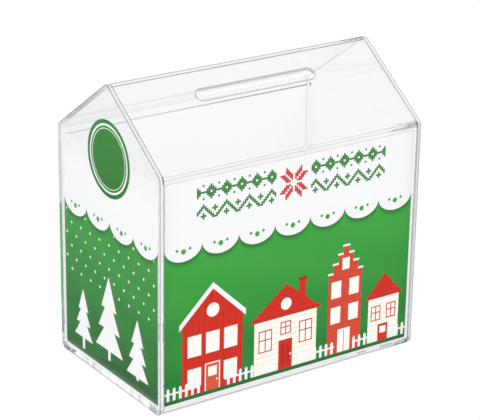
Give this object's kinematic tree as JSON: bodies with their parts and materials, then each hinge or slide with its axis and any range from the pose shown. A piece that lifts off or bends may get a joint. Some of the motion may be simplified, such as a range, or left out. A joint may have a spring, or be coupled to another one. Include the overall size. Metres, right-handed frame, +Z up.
{
  "type": "donation box",
  "caption": "House-shaped donation box of clear sheet with a long slot in the front roof slope, printed films inside the walls and a hinged, locking hatch in the base.",
  "frame": {"origin": "centre of the footprint, on the surface the box stands on", "axes": "+X along the ridge to the right seen from the front, -Y towards the front wall and the slot, +Z up"},
  "size_m": [0.22, 0.136, 0.2209],
  "materials": {
    "clear_sheet": "clear cast acrylic, polished edges",
    "print_long": "printed film, green and white with a stitched border and small houses",
    "print_short": "printed film, green and white",
    "label": "printed label, green with a white ring",
    "hinge_steel": "brushed",
    "rivet_aluminium": "bright",
    "lock_chrome": "polished",
    "lock_plug_metal": "satin",
    "lock_steel": "zinc plated"
  },
  "bodies": {
    "case": {"wrap": "clear_sheet", "left_gable": "clear_sheet", "right_gable": "clear_sheet", "base_plate": "clear_sheet", "front_print": "print_long", "back_print": "print_long", "left_print": "print_short", "right_print": "print_short", "gable_label": "label", "hinge_left_fixed_leaf": "hinge_steel", "hinge_right_fixed_leaf": "hinge_steel", "hinge_pins": "hinge_steel", "base_rivets": "rivet_aluminium", "strike_block": "clear_sheet", "stop_tabs": "clear_sheet"},
    "hatch": {"hatch_plate": "clear_sheet", "hinge_left_moving_leaf": "hinge_steel", "hinge_right_moving_leaf": "hinge_steel", "hatch_rivets": "rivet_aluminium", "lock_barrel": "lock_chrome", "lock_nut": "lock_chrome"},
    "lock_core": {"lock_plug": "lock_plug_metal", "lock_cam": "lock_steel", "cam_screw": "lock_steel"}
  },
  "joints": [
    {"name": "hatch_hinge", "type": "hinge", "parent": "case", "child": "hatch", "pos_m": [0, 0.037, 0.0014], "axis": [1, 0, 0], "range_deg": [0, 110]},
    {"name": "lock_turn", "type": "hinge", "parent": "hatch", "child": "lock_core", "pos_m": [0, -0.026, 0.01], "axis": [0, 0, -1], "range_deg": [0, 90]}
  ]
}
